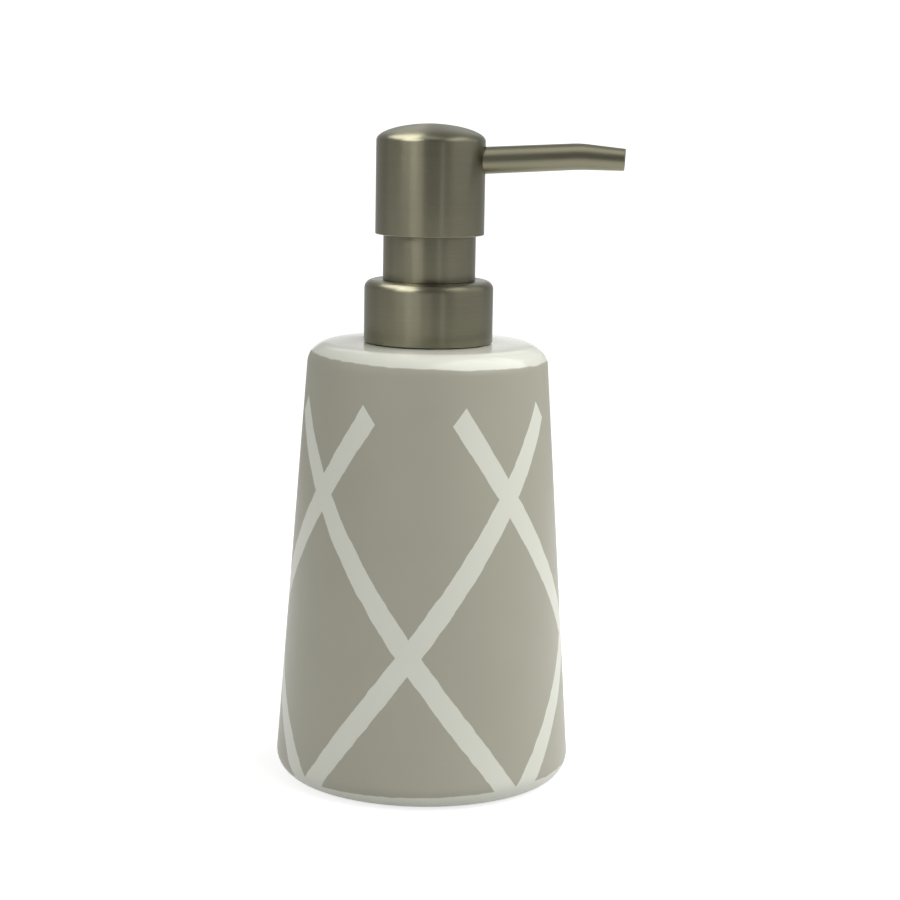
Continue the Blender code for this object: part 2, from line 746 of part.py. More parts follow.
def make_piston_seat(body):
    """A flange and cone under the piston, with a cross-shaped plug in the stem."""
    cone_foot = PISTON_SEAT_RIM
    cone_top = PISTON_SEAT_RIM + PISTON_SEAT_CONE
    flange = STEM_FOOT_RADIUS + PISTON_SEAT_FLANGE
    corners = [
        (0, cone_top),
        (STEM_FOOT_RADIUS, cone_top),
        (flange, cone_foot),
        (flange, 0),
        (0, 0),
    ]
    seat = turned("piston_seat", corners, "plastic", body, SEAT_BOTTOM, PUMP_SIDES, closed=False)
    width = 2 * (STEM_BORE - FIT_GAP) * math.cos(math.pi / SMALL_SIDES)
    breadth = math.sqrt(width**2 - PLUG_WEB**2)
    height = PLUG_LENGTH + PISTON_SEAT_CONE
    middle = SEAT_TOP - PISTON_SEAT_CONE + height / 2
    for name, size in (
        ("plug_web_x", (breadth, PLUG_WEB, height)),
        ("plug_web_y", (PLUG_WEB, breadth, height)),
    ):
        combine(seat, cutter(name, box_mesh(name, size, (0, 0, middle))), "UNION")


# Head


def spout_place(distance):
    """The point of the spout's axis at this distance from the pump's axis, round the bend at its knee."""
    turn_angle = SPOUT_RISE + SPOUT_FALL
    tangent = SPOUT_BEND_RADIUS * math.tan(turn_angle / 2)
    bend_start = SPOUT_KNEE - tangent * math.cos(SPOUT_RISE)
    bend_end = SPOUT_KNEE + tangent * math.cos(SPOUT_FALL)
    if distance <= bend_start:
        return Vector((distance, 0, SPOUT_ROOT_HEIGHT + distance * math.tan(SPOUT_RISE)))
    if distance >= bend_end:
        drop = (distance - SPOUT_KNEE) * math.tan(SPOUT_FALL)
        return Vector((distance, 0, SPOUT_KNEE_HEIGHT - drop))
    centre_x = bend_start + SPOUT_BEND_RADIUS * math.sin(SPOUT_RISE)
    start_height = SPOUT_ROOT_HEIGHT + bend_start * math.tan(SPOUT_RISE)
    centre_z = start_height - SPOUT_BEND_RADIUS * math.cos(SPOUT_RISE)
    rise = math.sqrt(SPOUT_BEND_RADIUS**2 - (distance - centre_x) ** 2)
    return Vector((distance, 0, centre_z + rise))


def spout_radius(distance):
    """The tube's outer radius: a slight taper to the knee, then a stronger one to the tip."""
    if distance <= SPOUT_KNEE:
        share = max(0, (distance - TUBE_START) / (SPOUT_KNEE - TUBE_START))
        return SPOUT_RADIUS * (1 + (SPOUT_KNEE_SHARE - 1) * share)
    share = (distance - SPOUT_KNEE) / (SPOUT_REACH - SPOUT_KNEE)
    return SPOUT_RADIUS * (SPOUT_KNEE_SHARE + (SPOUT_TIP_SHARE - SPOUT_KNEE_SHARE) * share)


def spout_stations(start, end):
    """Distances along the spout: its two ends, and a close row round the bend."""
    bend = SPOUT_BEND_RADIUS * math.tan((SPOUT_RISE + SPOUT_FALL) / 2)
    stations = [start]
    for share in BEND_STATION_SHARES:
        place = SPOUT_KNEE + bend * share
        if start < place < end:
            stations.append(place)
    return stations + [end]


def spout_bar(name, start, end, inset, rim=0.0):
    """A bar along the spout, smaller than the tube's outside by the inset, its far edge rounded by the rim."""
    stations = spout_stations(start, end - rim)
    radii = [spout_radius(distance) - inset for distance in stations]
    if rim:
        stations.append(end)
        radii.append(spout_radius(end) - inset - rim)
    first = SPOUT_RADIUS
    shares = [radius / first for radius in radii]
    return tube_mesh(name, [spout_place(distance) for distance in stations], first, shares, SPOUT_DETAIL)


def make_head_shell(body):
    """A drawn steel cup with a low dome, and a hole for the spout."""
    foot = DOME_FOOT - HEAD_BOTTOM
    outer = dome(HEAD_RADIUS, foot, HEAD_HEIGHT, DOME_STEPS)
    inner = dome(SHELL_BORE, foot, HEAD_HEIGHT - SHELL_WALL, INNER_DOME_STEPS)
    bottom = (HEAD_RADIUS, 0, EDGE_ROUND, SMALL_ARC_STEPS)
    edge = outline([(HEAD_RADIUS, foot), bottom, (SHELL_BORE, 0)], closed=False)
    points = outer + edge[1:] + list(reversed(inner))
    shell = turn(
        add("head_shell", profile_mesh("head_shell", points, closed=False), "steel", body, HEAD_BOTTOM),
        SHELL_SIDES,
    )
    hole = axis_rod(
        "spout_hole_cutter",
        SPOUT_RADIUS + FIT_GAP,
        spout_place(SHELL_BORE - CUT_OVERRUN),
        spout_place(HEAD_RADIUS + CUT_OVERRUN),
        SMALL_SIDES,
    )
    combine(shell, cutter("spout_hole_cutter", hole), "DIFFERENCE")


def dome(radius, foot, top, steps):
    """The dome's outline from its crown to the wall, as one cubic curve with a level crown."""
    height = top - foot
    crown = Vector((0, top))
    crown_handle = Vector((radius * DOME_CROWN_SHARE, top))
    wall_handle = Vector((radius, foot + height * DOME_WALL_SHARE))
    wall = Vector((radius, foot))
    points = []
    for step in range(steps + 1):
        t = step / steps
        place = (1 - t) ** 3 * crown + 3 * (1 - t) ** 2 * t * crown_handle
        place += 3 * (1 - t) * t**2 * wall_handle + t**3 * wall
        points.append(tuple(place))
    return points


def make_actuator_core(body):
    """The head's moulded core: skirt, floor, hub with the stem's socket, and a boss for the spout."""
    deck = CORE_DECK - CORE_BOTTOM
    rim = DOME_FOOT - CORE_BOTTOM
    skirt = HEAD_BOTTOM + SKIRT_RECESS - CORE_BOTTOM
    hub_top = SPOUT_ROOT_HEIGHT + BOSS_RADIUS - CORE_BOTTOM
    socket = STEM_TOP + SEAT_GAP - CORE_BOTTOM
    channel = SPOUT_ROOT_HEIGHT - CORE_BOTTOM
    corners = [
        (0, hub_top),
        (HUB_RADIUS, hub_top),
        (HUB_RADIUS, deck),
        (SKIRT_BORE, deck),
        (SKIRT_BORE, rim),
        (SKIRT_RADIUS, rim),
        (SKIRT_RADIUS, skirt),
        (SKIRT_BORE, skirt),
        (SKIRT_BORE, 0),
        (HUB_RADIUS, 0),
        (HUB_RADIUS, -HUB_LENGTH),
        (STEM_SOCKET, -HUB_LENGTH),
        (STEM_SOCKET, socket),
        (STEM_BORE, socket),
        (STEM_BORE, channel),
        (0, channel),
    ]
    core = turned("actuator_core", corners, "plastic", body, CORE_BOTTOM, PLASTIC_SIDES, closed=False)
    rods = (
        ("spout_boss", BOSS_RADIUS, BOSS_START, BOSS_END, "UNION"),
        ("channel_cutter", LINER_BORE_ROOT, 0, SKIRT_BORE, "DIFFERENCE"),
        (
            "liner_bore_cutter",
            SPOUT_RADIUS - SPOUT_WALL - SEAT_GAP + FIT_GAP,
            LINER_START - SEAT_GAP,
            SKIRT_RADIUS,
            "DIFFERENCE",
        ),
        (
            "tube_socket_cutter",
            SPOUT_RADIUS + FIT_GAP,
            TUBE_START - SEAT_GAP,
            SKIRT_RADIUS + CUT_OVERRUN,
            "DIFFERENCE",
        ),
    )
    for name, radius, start, end, operation in rods:
        rod = axis_rod(name, radius, spout_place(start), spout_place(end), SMALL_SIDES)
        combine(core, cutter(name, rod), operation)


def make_spout(body):
    tube = spout_bar("spout_tube", TUBE_START, SPOUT_REACH, 0, RIM_ROUND)
    tube_piece = add("spout_tube", tube, "steel", body)
    bore = spout_bar(
        "spout_bore_cutter", TUBE_START - CUT_OVERRUN, SPOUT_REACH + CUT_OVERRUN, SPOUT_WALL
    )
    combine(tube_piece, cutter("spout_bore_cutter", bore), "DIFFERENCE")
    inset = SPOUT_WALL + SEAT_GAP
    liner = spout_bar("spout_liner", LINER_START, SPOUT_REACH - LINER_RECESS, inset)
    liner_piece = add("spout_liner", liner, "plastic", body)
    liner_bore = spout_bar(
        "liner_cutter", LINER_START - CUT_OVERRUN, SPOUT_REACH + CUT_OVERRUN, inset + LINER_WALL
    )
    combine(liner_piece, cutter("liner_cutter", liner_bore), "DIFFERENCE")


clear_scene()
PARTS = new_collection("soap_dispenser")
CUTTERS = new_collection("cutters", hidden=True)

bottle_body = empty("bottle_body", 0)
gasket_body = empty("gasket_body", GASKET_BOTTOM, bottle_body)
pump_body = empty("pump_body", FLANGE_BOTTOM, gasket_body)
closure_body = empty("closure_body", CLOSURE_BOTTOM, pump_body)
ball_body = empty("ball_body", BALL_HEIGHT, pump_body)
plunger_body = empty("plunger_body", PISTON_BOTTOM, pump_body)
head_body = empty("head_body", HEAD_BOTTOM, plunger_body)

make_bottle(bottle_body)
make_neck_insert(bottle_body)
make_gasket(gasket_body)
make_housing(pump_body)
make_dip_tube(pump_body)
make_ball_cage(pump_body)
make_spring(pump_body)
make_chaplet(pump_body)
make_sleeve(pump_body)
make_ball(ball_body)
make_closure(closure_body)
make_collar_shell(closure_body)
make_piston(plunger_body)
make_stem(head_body)
make_piston_seat(head_body)
make_actuator_core(head_body)
make_head_shell(head_body)
make_spout(head_body)
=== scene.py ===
"""The look of a ceramic soap dispenser with a steel lotion pump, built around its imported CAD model.

The frame is the CAD model's: metres, +Z up, the spout along +X, the origin at the centre of the base.
Sizes of pieces are written in millimetres and scaled where their meshes are made.
"""

import math

import bmesh
import bpy
from mathutils import Matrix, Vector


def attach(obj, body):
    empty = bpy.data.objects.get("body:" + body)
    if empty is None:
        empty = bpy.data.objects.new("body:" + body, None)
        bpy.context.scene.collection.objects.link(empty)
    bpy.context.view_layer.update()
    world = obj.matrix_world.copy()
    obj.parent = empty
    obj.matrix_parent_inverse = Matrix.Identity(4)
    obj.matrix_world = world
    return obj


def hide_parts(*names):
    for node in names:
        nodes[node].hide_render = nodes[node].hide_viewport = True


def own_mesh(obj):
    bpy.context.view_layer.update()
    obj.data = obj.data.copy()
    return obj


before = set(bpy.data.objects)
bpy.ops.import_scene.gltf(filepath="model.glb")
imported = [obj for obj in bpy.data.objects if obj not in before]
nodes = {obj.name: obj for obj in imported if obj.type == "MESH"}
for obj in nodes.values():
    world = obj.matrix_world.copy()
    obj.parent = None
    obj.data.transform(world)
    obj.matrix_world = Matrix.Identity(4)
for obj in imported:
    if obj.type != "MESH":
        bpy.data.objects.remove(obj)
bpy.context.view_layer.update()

MM = 0.001
SHARP_ANGLE = math.radians(32)

# Sizes of the solids that the finer pieces stand for, in millimetres. First the bottle
BOTTLE_HEIGHT = 114.0
BASE_RADIUS = 38.8  # where the wall's line meets the base plane
TOP_RADIUS = 30.74  # where the wall's line meets the top plane
WALL_TAPER = (TOP_RADIUS - BASE_RADIUS) / BOTTLE_HEIGHT
BOTTLE_WALL = 4.0
BOTTLE_FLOOR = 5.0
BOTTLE_ROOF = 4.5
MOUTH_RADIUS = 13.6
FOOT_ROUND = 6.0
SHOULDER_ROUND = 5.6

# The neck insert and the closure
INSERT_BOTTOM = 107.9
INSERT_RADIUS = 13.3
INSERT_CHAMFER = 0.9
INSERT_SEAT = 114.3  # the underside of its flange
INSERT_FLANGE_RADIUS = 15.4
NECK_FOOT = 115.3
NECK_RIM = 125.4
NECK_RADIUS = 12.4
NECK_BORE = 10.6
CLOSURE_BOTTOM = 115.6
CLOSURE_CEILING = 128.2
CLOSURE_TOP = 129.4
CLOSURE_RADIUS = 15.9
CLOSURE_BORE = 14.0
CLOSURE_HOLE = 9.9
THREAD_PITCH = 4.2333
THREAD_START = 118.9
NECK_CREST = 13.6  # the radius that the neck's thread reaches
CLOSURE_CREST = 12.8

# The steel skins
COLLAR_BOTTOM = 114.3
COLLAR_TOP = 130.12
COLLAR_RADIUS = 16.62
COLLAR_WALL = 0.42
COLLAR_ROUND = 2.1
COLLAR_HOLE = 11.4
SLEEVE_BOTTOM = 130.18
SLEEVE_TOP = 144.72
SLEEVE_RADIUS = 11.9
SLEEVE_WALL = 0.5
SLEEVE_HOLE = 6.2
FOOT_LIP = 0.15  # how much thicker the sleeve's wall is at its foot
FOOT_LIP_HEIGHT = 0.7
HEAD_BOTTOM = 141.86
HEAD_TOP = 169.97
HEAD_RADIUS = 14.0
SHELL_WALL = 0.5
DOME_HEIGHT = 4.37
DOME_CROWN_SHARE = 0.45  # the curve's handles: this share of the radius out from the crown
DOME_WALL_SHARE = 0.60  # and this share of the dome's height up from the wall

# The spout: its axis rises a little to a rounded knee, then falls a little
SPOUT_RISE = math.radians(3.5)
SPOUT_FALL = math.radians(3.1)
SPOUT_START = 11.6  # from the pump's axis, as the next two
SPOUT_KNEE = 38.0
SPOUT_REACH = 49.4
SPOUT_BEND_RADIUS = 35.0
SPOUT_RADIUS = 3.46  # at its root
KNEE_SHARE = 0.970  # of the root's radius
TIP_SHARE = 0.811
SPOUT_WALL = 0.5
SPOUT_RIM = 0.25  # the round at the tip, half of the wall
HOLE_CLEARANCE = 0.12

# The spout's axis is one boss radius above the bottom of the head's core where it passes over the hub's edge
CORE_BOTTOM = 156.02
HUB_RADIUS = 5.6
BOSS_RADIUS = SPOUT_RADIUS + 0.90  # its wall, and the room round the tube
ROOT_HEIGHT = CORE_BOTTOM + BOSS_RADIUS - HUB_RADIUS * math.tan(SPOUT_RISE)

# The return spring
SPRING_BOTTOM = 86.9
SPRING_TOP = 113.1
SPRING_RADIUS = 4.75  # of the wire's middle line
WIRE_RADIUS = 0.45
COILS = 9
END_RISE = 1.4  # how far the closed coil at each end climbs
COIL_STEPS = 28

# The trellis on the bottle: bands that lean each way, four to a turn
BAND_COUNT = 4
BAND_RISE = 78.0  # while a band crosses one quarter of a turn
BAND_WIDTH = 5.4
BAND_TOP = 99.0
BAND_PHASE = 0.5
BAND_BLUR = 0.08
BRUSH_WOBBLE = 0.16  # how far a painted edge wanders

# The white top and foot: the heights between which each edge fades, and its tilt along X
TOP_EDGE = (110.75, 111.05)
TOP_TILT = 0.027
FOOT_EDGE = (3.55, 3.8)
FOOT_TILT = -0.024
BARE_EDGE = (0.04, 0.12)  # where the glaze ends on the base


# Mesh tools


def arc_corner(before, corner, after, radius, steps):
    """Points of the arc that rounds a corner between two straight lines."""
    corner = Vector(corner)
    back = (Vector(before) - corner).normalized()
    ahead = (Vector(after) - corner).normalized()
    half = back.angle(ahead) / 2
    start = corner + back * (radius / math.tan(half))
    end = corner + ahead * (radius / math.tan(half))
    centre = corner + (back + ahead).normalized() * (radius / math.sin(half))
    sweep = (start - centre).angle(end - centre)
    points = []
    for step in range(steps + 1):
        share = step / steps
        first = math.sin((1 - share) * sweep) / math.sin(sweep)
        last = math.sin(share * sweep) / math.sin(sweep)
        points.append(tuple(centre + (start - centre) * first + (end - centre) * last))
    return points


def outline(corners, closed=True, steps=8):
    """An outline from corners (radius, height), or (radius, height, round) for a rounded one."""
    points = []
    count = len(corners)
    for index, corner in enumerate(corners):
        inside = closed or 0 < index < count - 1
        if len(corner) == 3 and inside:
            before = corners[index - 1][:2]
            after = corners[(index + 1) % count][:2]
            points += arc_corner(before, corner[:2], after, corner[2], steps)
        else:
            points.append(tuple(corner[:2]))
    return points


def smooth(mesh):
    """Smooth shading with the sharp edges kept."""
    mesh.shade_smooth()
    mesh.set_sharp_from_angle(angle=SHARP_ANGLE)


def new_piece(name, verts, faces):
    """A smooth piece from vertices in millimetres."""
    mesh = bpy.data.meshes.new(name)
    mesh.from_pydata([Vector(v) * MM for v in verts], [], faces)
    form = bmesh.new()
    form.from_mesh(mesh)
    bmesh.ops.recalc_face_normals(form, faces=form.faces)
    form.to_mesh(mesh)
    form.free()
    piece = bpy.data.objects.new(name, mesh)
    bpy.context.scene.collection.objects.link(piece)
    smooth(mesh)
    return piece


def bridge(rings, closed):
    """Faces between rows of vertex numbers. A row of one number is a pole."""
    faces = []
    for low, high in zip(rings, rings[1:] + rings[:1] if closed else rings[1:]):
        count = max(len(low), len(high))
        for i in range(count):
            j = (i + 1) % count
            face = [low[i % len(low)], low[j % len(low)], high[j % len(high)], high[i % len(high)]]
            faces.append(list(dict.fromkeys(face)))
    return faces


def turned(name, points, sides, closed=True):
    """A turned piece from its outline. Points on the axis become poles."""
    verts = []
    rings = []
    for radius, height in points:
        count = sides if radius > 0 else 1
        rings.append(list(range(len(verts), len(verts) + count)))
        for i in range(count):
            angle = 2 * math.pi * i / sides
            verts.append((radius * math.cos(angle), radius * math.sin(angle), height))
    return new_piece(name, verts, bridge(rings, closed))


def swept(name, stations, sides, guide, closed=False):
    """A tube through stations (centre, direction, radius), with its rings square to a guide direction."""
    verts = []
    rings = []
    for centre, direction, radius in stations:
        across = Vector(guide).cross(direction).normalized()
        over = direction.cross(across).normalized()
        rings.append(list(range(len(verts), len(verts) + sides)))
        for i in range(sides):
            angle = 2 * math.pi * i / sides
            verts.append(centre + radius * (across * math.cos(angle) + over * math.sin(angle)))
    faces = bridge(rings, closed)
    if not closed:
        faces += [rings[0], rings[-1][::-1]]
    return new_piece(name, verts, faces)


def thread_ridge(name, root, crest, start, turns):
    """One helical ridge with run-out ends, from its root radius to its crest radius."""
    root_half, crest_half, overlap, steps_per_turn, fade_share = 1.15, 0.55, 0.15, 48, 7
    steps = int(steps_per_turn * turns)
    verts = []
    rings = []
    for step in range(steps + 1):
        share = step / steps
        fade = min(1, fade_share * share, fade_share * (1 - share))
        turn = 2 * math.pi * turns * share
        height = start + THREAD_PITCH * turns * share
        peak = root + (crest - root) * math.sin(fade * math.pi / 2)
        sink = root - overlap * math.copysign(1, crest - root)
        section = [(sink, -root_half), (peak, -crest_half), (peak, crest_half), (sink, root_half)]
        rings.append(list(range(len(verts), len(verts) + len(section))))
        for radius, rise in section:
            verts.append((radius * math.cos(turn), radius * math.sin(turn), height + rise))
    return new_piece(name, verts, bridge(rings, False) + [rings[0], rings[-1][::-1]])


def join(main, other):
    """One piece from two."""
    form = bmesh.new()
    for piece in (main, other):
        form.from_mesh(piece.data)
    form.to_mesh(main.data)
    form.free()
    bpy.data.objects.remove(other)
    smooth(main.data)


def mount(piece, body, slot, material, *stands_for):
    """Gives a piece its material and its body, and hides the solid that it stands for."""
    piece.data.materials.append(material)
    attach(piece, body)
    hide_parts(*stands_for)


# Material tools


class Finish:
    """A node material that is written one node at a time."""

    def __init__(self, name):
        self.material = bpy.data.materials.new(name)
        self.material.use_nodes = True
        self.tree = self.material.node_tree
        self.shader = self.tree.nodes["Principled BSDF"]
        self.place = self.add("ShaderNodeTexCoord").outputs["Object"]
        split = self.add("ShaderNodeSeparateXYZ", self.place)
        self.x, self.y, self.z = split.outputs

    def add(self, kind, *inputs, **settings):
        """A node whose first inputs are links or plain values, or None to leave one as it is."""
        node = self.tree.nodes.new(kind)
        for key, value in settings.items():
            setattr(node, key, value)
        for socket, value in zip(node.inputs, inputs):
            self.feed(socket, value)
        return node

    def feed(self, socket, value):
        if value is None:
            return
        if isinstance(value, bpy.types.NodeSocket):
            self.tree.links.new(value, socket)
        else:
            socket.default_value = value

    def math(self, operation, *inputs):
        return self.add("ShaderNodeMath", *inputs, operation=operation).outputs[0]

    def vector(self, x, y, z):
        return self.add("ShaderNodeCombineXYZ", x, y, z).outputs[0]

    def noise(self, place, scale, detail=2.0, roughness=0.5):
        """Noise between 0 and 1, with about this many features to a unit of the place that it is read at."""
        node = self.add("ShaderNodeTexNoise")
        self.feed(node.inputs["Vector"], place)
        node.inputs["Scale"].default_value = scale
        node.inputs["Detail"].default_value = detail
        node.inputs["Roughness"].default_value = roughness
        return node.outputs[0]

    def remap(self, value, low, high, to_low, to_high):
        """A clamped linear change of range."""
        return self.add("ShaderNodeMapRange", value, low, high, to_low, to_high).outputs[0]

    def mix(self, share, first, second):
        """A mix of two colours. A plain colour is given as three numbers."""
        node = self.add("ShaderNodeMix", data_type="RGBA")
        colours = [(*c, 1.0) if isinstance(c, tuple) else c for c in (first, second)]
        for socket, value in zip((node.inputs[0], node.inputs[6], node.inputs[7]), (share, *colours)):
            self.feed(socket, value)
        return node.outputs[2]

    def bump(self, height, depth, strength):
        """Feeds the shader's normal from a height between 0 and 1, which is this deep in metres."""
        node = self.add("ShaderNodeBump")
        node.inputs["Strength"].default_value = strength
        node.inputs["Distance"].default_value = depth
        self.feed(node.inputs["Height"], height)
        self.feed(self.shader.inputs["Normal"], node.outputs[0])

    def set(self, **values):
        """Values or links for the shader's sockets, by their names with underscores."""
        for key, value in values.items():
            if isinstance(value, tuple):
                value = (*value, 1.0)
            self.feed(self.shader.inputs[key.replace("_", " ")], value)


def brushed_steel(name, along_spout=False):
    """Warm brushed nickel steel. The brush ran round the axis, or along the spout."""
    finish = Finish(name)
    fine_scale = 7000  # lines to a metre, across the brush
    if along_spout:
        grain = finish.vector(
            finish.math("MULTIPLY", finish.x, 60),
            finish.math("MULTIPLY", finish.y, fine_scale),
            finish.math("MULTIPLY", finish.z, fine_scale),
        )
    else:
        angle = finish.math("ARCTAN2", finish.y, finish.x)
        flat = finish.add("ShaderNodeVectorMath", finish.place, (1, 1, 0), operation="MULTIPLY").outputs[0]
        radius = finish.add("ShaderNodeVectorMath", flat, operation="LENGTH").outputs["Value"]
        grain = finish.vector(
            finish.math("MULTIPLY", angle, 1.6),
            finish.math("MULTIPLY", radius, fine_scale),
            finish.math("MULTIPLY", finish.z, fine_scale),
        )
    fine = finish.noise(grain, 1.0, 3.0, 0.65)
    broad = finish.noise(grain, 0.16, 2.0)
    cloud = finish.noise(finish.place, 90.0, 2.0)
    lines = finish.math("MULTIPLY_ADD", broad, 0.45, fine)
    tone = finish.remap(lines, 0.3, 1.15, 0.0, 1.0)
    brushed = finish.remap(fine, 0.3, 0.7, 0.27, 0.32)
    handled = finish.remap(cloud, 0.3, 0.7, 0.0, 0.03)
    finish.set(
        Base_Color=finish.mix(tone, (0.202, 0.193, 0.136), (0.234, 0.223, 0.158)),
        Metallic=1.0,
        Roughness=finish.math("ADD", brushed, handled),
        Anisotropic=0.72,
        Anisotropic_Rotation=0.0 if along_spout else 0.25,
    )
    tangent = finish.add("ShaderNodeTangent", direction_type="RADIAL", axis="X" if along_spout else "Z")
    finish.feed(finish.shader.inputs["Tangent"], tangent.outputs[0])
    finish.bump(lines, 0.000006, 0.12)
    return finish.material


def bright_steel(name):
    """Drawn and polished stainless steel."""
    finish = Finish(name)
    streaks = finish.noise(finish.place, 2600.0, 3.0)
    cloud = finish.noise(finish.place, 420.0, 2.0)
    finish.set(
        Base_Color=finish.mix(cloud, (0.50, 0.50, 0.51), (0.62, 0.62, 0.62)),
        Metallic=1.0,
        Roughness=finish.remap(streaks, 0.3, 0.7, 0.12, 0.26),
    )
    finish.bump(streaks, 0.000006, 0.4)
    return finish.material


def moulded_plastic(name, dark, light, roughness, transmission=0.0):
    """Injection-moulded plastic: a faint flow mottling and a fine satin skin."""
    finish = Finish(name)
    flow = finish.noise(finish.place, 140.0, 3.0)
    skin = finish.noise(finish.place, 3800.0, 2.0)
    finish.set(
        Base_Color=finish.mix(flow, dark, light),
        Roughness=finish.math("MULTIPLY_ADD", skin, 0.12, roughness),
        IOR=1.49,
        Transmission_Weight=transmission,
    )
    finish.bump(skin, 0.00001, 0.2)
    return finish.material


def soft_rubber(name):
    """Matt black rubber with a little dust on it."""
    finish = Finish(name)
    grain = finish.noise(finish.place, 2400.0, 4.0)
    dust = finish.noise(finish.place, 300.0, 3.0)
    finish.set(
        Base_Color=finish.mix(dust, (0.035, 0.035, 0.035), (0.075, 0.073, 0.07)),
        Roughness=finish.remap(grain, 0.3, 0.7, 0.55, 0.8),
    )
    finish.bump(grain, 0.00002, 0.6)
    return finish.material


def trellis(finish, angle, height, wobble):
    """A mask of 1 on slanted bands that cross each other round the bottle, up to their cut ends."""
    radius = finish.math("MULTIPLY_ADD", height, WALL_TAPER, BASE_RADIUS)
    arc = finish.math("DIVIDE", finish.math("MULTIPLY", radius, 2 * math.pi), BAND_COUNT)
    steep = finish.math("DIVIDE", 1.0, arc)
    slope = finish.math("SQRT", finish.math("ADD", finish.math("MULTIPLY", steep, steep), 1 / BAND_RISE**2))
    turns = finish.math("MULTIPLY_ADD", angle, BAND_COUNT / (2 * math.pi), BAND_PHASE)
    rise = finish.math("DIVIDE", height, BAND_RISE)
    bands = []
    for sign in (1, -1):
        row = finish.math("MULTIPLY_ADD", rise, sign, turns)
        off = finish.math("SUBTRACT", row, finish.math("ROUND", row))
        across = finish.math("DIVIDE", off, slope)
        lean = finish.math("DIVIDE", steep, slope)
        away = finish.math("ABSOLUTE", finish.math("ADD", across, wobble))
        inside = finish.math("SUBTRACT", BAND_WIDTH / 2, away)
        body = finish.remap(inside, -BAND_BLUR, BAND_BLUR, 0.0, 1.0)
        end = finish.math("MULTIPLY_ADD", finish.math("MULTIPLY", across, lean), -sign, height)
        below = finish.remap(end, BAND_TOP - BAND_BLUR, BAND_TOP + BAND_BLUR, 1.0, 0.0)
        bands.append(finish.math("MULTIPLY", body, below))
    return finish.math("MAXIMUM", *bands)


def glazed_ceramic(name):
    """Satin taupe glaze with a white trellis, a gloss white top, a white foot and a bare base."""
    finish = Finish(name)
    height = finish.math("DIVIDE", finish.z, MM)
    along = finish.math("DIVIDE", finish.x, MM)
    wander = finish.noise(finish.place, 260.0, 2.0)
    wobble = finish.remap(wander, 0.3, 0.7, -BRUSH_WOBBLE, BRUSH_WOBBLE)
    angle = finish.math("ARCTAN2", finish.y, finish.x)
    print_mask = trellis(finish, angle, height, wobble)
    top_line = finish.math("ADD", finish.math("MULTIPLY_ADD", along, TOP_TILT, height), wobble)
    top_mask = finish.remap(top_line, *TOP_EDGE, 0.0, 1.0)
    foot_line = finish.math("ADD", finish.math("MULTIPLY_ADD", along, FOOT_TILT, height), wobble)
    foot_mask = finish.remap(foot_line, *FOOT_EDGE, 1.0, 0.0)
    white = finish.math("MAXIMUM", finish.math("MAXIMUM", print_mask, foot_mask), top_mask)
    bare = finish.remap(height, *BARE_EDGE, 1.0, 0.0)
    cloud = finish.noise(finish.place, 55.0, 3.0)
    speck = finish.noise(finish.place, 1500.0, 3.0, 0.7)
    taupe = finish.mix(cloud, (0.386, 0.378, 0.298), (0.426, 0.415, 0.331))
    chalk = finish.mix(cloud, (0.735, 0.743, 0.648), (0.769, 0.777, 0.685))
    clay = finish.mix(finish.remap(speck, 0.35, 0.65, 0.0, 1.0), (0.50, 0.48, 0.42), (0.68, 0.66, 0.60))
    glaze = finish.mix(white, taupe, chalk)
    satin = finish.remap(finish.noise(finish.place, 900.0, 3.0), 0.3, 0.7, 0.36, 0.44)
    gloss = finish.remap(cloud, 0.3, 0.7, 0.10, 0.15)
    sheen = finish.add("ShaderNodeMix", top_mask, None, satin, gloss)
    skin = finish.add("ShaderNodeMix", bare, None, sheen.outputs[0], 0.85)
    finish.set(Base_Color=finish.mix(bare, glaze, clay), Roughness=skin.outputs[0], IOR=1.5)
    ripple = finish.noise(finish.place, 160.0, 2.0)
    raised = finish.math("MULTIPLY_ADD", white, 0.35, finish.math("MULTIPLY_ADD", bare, speck, ripple))
    finish.bump(raised, 0.00006, 0.5)
    return finish.material


ceramic = glazed_ceramic("glazed_ceramic")
steel = brushed_steel("brushed_steel")
spout_steel = brushed_steel("spout_steel", along_spout=True)
wire_steel = bright_steel("bright_steel")
white_plastic = moulded_plastic("white_plastic", (0.70, 0.70, 0.67), (0.78, 0.78, 0.76), 0.34)
natural_plastic = moulded_plastic("natural_plastic", (0.80, 0.83, 0.83), (0.90, 0.92, 0.92), 0.22, 0.55)
rubber = soft_rubber("gasket_rubber")

for node, material in {
    "gasket": rubber,
    "pump_housing": natural_plastic,
    "dip_tube": natural_plastic,
    "piston": natural_plastic,
    "ball": wire_steel,
    "ball_cage": white_plastic,
    "chaplet": white_plastic,
    "stem": white_plastic,
    "piston_seat": white_plastic,
    "actuator_core": white_plastic,
    "spout_liner": white_plastic,
}.items():
    nodes[node].data.materials.clear()
    nodes[node].data.materials.append(material)


# Bottle

roof_height = BOTTLE_HEIGHT - BOTTLE_ROOF
bottle = turned(
    "bottle_glazed",
    outline(
        [
            (0, BOTTLE_FLOOR),
            (BASE_RADIUS + WALL_TAPER * BOTTLE_FLOOR - BOTTLE_WALL, BOTTLE_FLOOR, 2.0),
            (BASE_RADIUS + WALL_TAPER * roof_height - BOTTLE_WALL, roof_height, 1.6),
            (MOUTH_RADIUS, roof_height),
            (MOUTH_RADIUS, BOTTLE_HEIGHT, 0.8),
            (TOP_RADIUS, BOTTLE_HEIGHT, SHOULDER_ROUND),
            (BASE_RADIUS, 0, FOOT_ROUND),
            (0, 0),
        ],
        closed=False,
        steps=12,
    ),
    192,
    closed=False,
)
mount(bottle, "bottle_body", "glazed_ceramic", ceramic, "bottle")

# Neck insert and closure, with their threads

